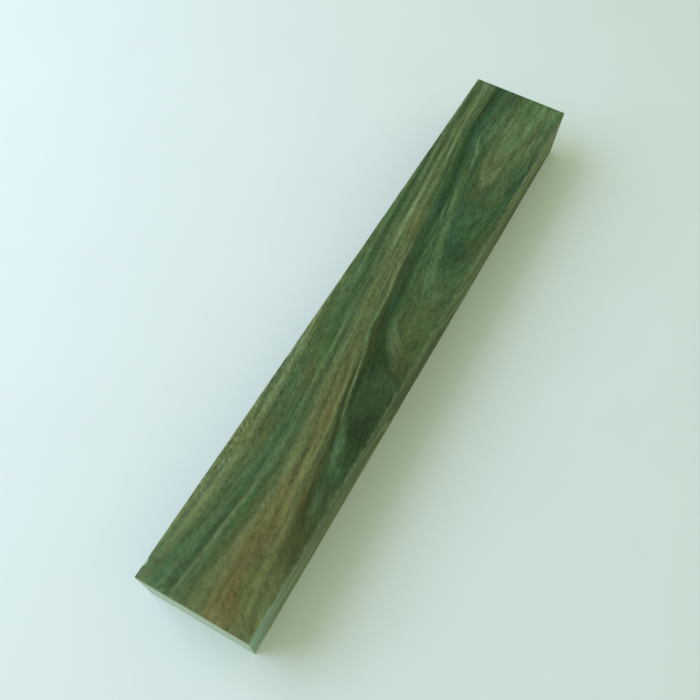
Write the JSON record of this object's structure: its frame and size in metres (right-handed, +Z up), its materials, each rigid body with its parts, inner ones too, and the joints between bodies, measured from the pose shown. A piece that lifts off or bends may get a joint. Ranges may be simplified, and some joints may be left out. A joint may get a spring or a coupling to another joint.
{
  "type": "sandalwood block",
  "caption": "Sawn and planed rectangular blank of figured green sandalwood, with crisp arrises and end grain showing on both ends.",
  "frame": {"origin": "centre of the underside, which is the bottom centre of the bounding box", "axes": "+X along the grain towards the far end, +Y across the wide face, +Z up through the thickness"},
  "size_m": [0.3, 0.0492, 0.0286],
  "materials": {
    "planed_sandalwood": "bare wood, planed on the faces and sawn on the ends, dull satin with no varnish or oil"
  },
  "bodies": {
    "root": {"sandalwood_block": "planed_sandalwood"}
  },
  "joints": []
}
